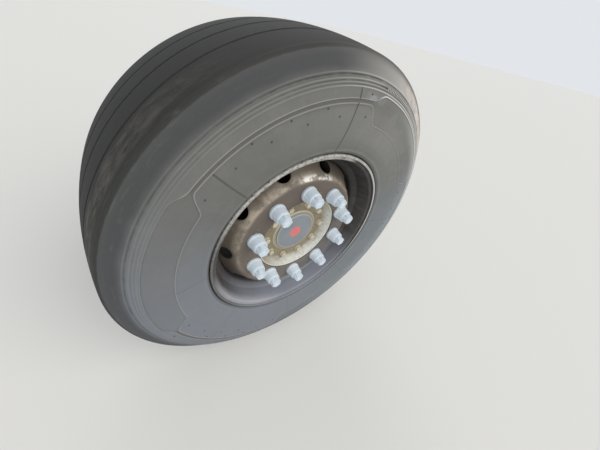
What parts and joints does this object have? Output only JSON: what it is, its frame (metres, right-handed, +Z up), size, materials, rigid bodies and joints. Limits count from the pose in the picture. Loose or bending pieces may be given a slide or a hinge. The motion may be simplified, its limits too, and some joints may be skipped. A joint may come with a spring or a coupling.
{
  "type": "trailer wheel end",
  "caption": "Wide single trailer wheel and tyre turning on a hub with a disc brake, held by the axle tube's end.",
  "frame": {"origin": "on the wheel's axis, in the middle of the axle tube's suspension seat", "axes": "+Y along the axle, inboard; -Y outboard; +X rearwards; +Z up"},
  "size_m": [1.0458, 0.6305, 1.046],
  "materials": {
    "tyre": "weathered rubber, dusty",
    "rim": "worn silver paint with chips and grime",
    "wheel_disc": "worn paint under brown road dirt",
    "hub": "machined and painted casting, dusty",
    "hub_cap": "painted pressed steel, scuffed",
    "hub_bolts": "plated, dirty",
    "studs": "plated, dirty",
    "nuts": "plated, dirty",
    "nut_caps": "pale translucent plastic, slightly dusty",
    "valve": "dull",
    "brake_disc": "machined faces, light rust",
    "pole_ring": "dull, light rust",
    "axle": "black chassis paint, dusty",
    "brake_castings": "painted casting, rust and dust",
    "pads": "friction lining on painted steel",
    "chamber": "black paint, dusty",
    "pins": "plated, dusty",
    "band": "plated, dull"
  },
  "bodies": {
    "axle_end": {"axle_tube": "axle", "spindle": "axle", "brake_carrier": "brake_castings", "carrier_bolts": "pins", "caliper": "brake_castings", "pad_retainer": "pins", "guide_pins": "pins", "pad_inner": "pads", "pad_outer": "pads", "service_chamber": "chamber", "chamber_band": "band", "spring_chamber": "chamber"},
    "wheel": {"tyre": "tyre", "rim": "rim", "wheel_disc": "wheel_disc", "hub": "hub", "hub_cap": "hub_cap", "hub_bolts": "hub_bolts", "wheel_studs": "studs", "wheel_nuts": "nuts", "nut_caps": "nut_caps", "valve": "valve", "brake_disc": "brake_disc", "pole_ring": "pole_ring"}
  },
  "joints": [
    {"name": "wheel_spin", "type": "hinge", "parent": "axle_end", "child": "wheel", "pos_m": [0, -0.37, 0], "axis": [0, 1, 0], "continuous": true}
  ]
}
